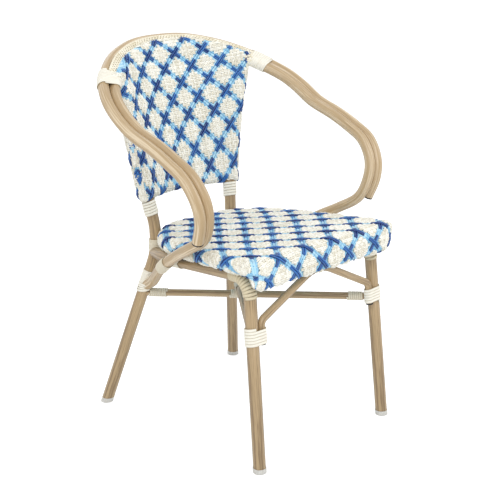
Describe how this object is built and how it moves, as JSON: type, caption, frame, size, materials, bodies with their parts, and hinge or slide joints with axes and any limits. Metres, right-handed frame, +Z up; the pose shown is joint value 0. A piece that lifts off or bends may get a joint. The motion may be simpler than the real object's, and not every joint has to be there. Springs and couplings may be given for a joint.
{
  "type": "bistro armchair",
  "caption": "Armchair of bent bamboo-look metal tube with curled arms, a woven seat and back, and corded joints.",
  "frame": {"origin": "on the floor, under the middle of the chair's bounding box", "axes": "+Z up; the front of the seat faces -Y; +X is the sitter's left hand"},
  "size_m": [0.6, 0.5636, 0.8528],
  "materials": {
    "frame_tube": "bamboo-look paint with a long grain, satin",
    "bare_tube": "plain drawn tube, hidden by the weave",
    "weave": "woven plastic strand, cream flowers between royal and pale blue",
    "binding": "cream plastic strand, wound and braided",
    "cap": "black moulded end cap",
    "glide": "pale translucent moulded glide"
  },
  "bodies": {
    "root": {"arm_hoop": "frame_tube", "inner_hoop": "frame_tube", "rear_leg_left": "frame_tube", "front_leg_left": "frame_tube", "rear_leg_right": "frame_tube", "front_leg_right": "frame_tube", "glide_rear_left": "glide", "glide_front_left": "glide", "glide_rear_right": "glide", "glide_front_right": "glide", "arm_cap_left": "cap", "arch_cap_left": "cap", "arm_cap_right": "cap", "arch_cap_right": "cap", "stretcher_low": "frame_tube", "stretcher_high": "frame_tube", "front_arch": "frame_tube", "seat_weave": "weave", "seat_frame": "bare_tube", "seat_cross_bar_1": "bare_tube", "seat_cross_bar_2": "bare_tube", "seat_lip_bar": "bare_tube", "back_bottom_rail": "bare_tube", "back_weave": "weave", "edge_braid": "binding", "upright_binding_left": "binding", "arch_binding_left": "binding", "cuff_left": "binding", "elbow_binding_left": "binding", "rail_end_binding_left": "binding", "curl_end_binding_left": "binding", "crossing_binding_left": "binding", "upright_binding_right": "binding", "arch_binding_right": "binding", "cuff_right": "binding", "elbow_binding_right": "binding", "rail_end_binding_right": "binding", "curl_end_binding_right": "binding", "crossing_binding_right": "binding", "stretcher_low_rear_binding": "binding", "stretcher_low_front_binding": "binding", "stretcher_high_rear_binding": "binding", "stretcher_high_front_binding": "binding", "stretcher_cross_binding": "binding"}
  },
  "joints": []
}
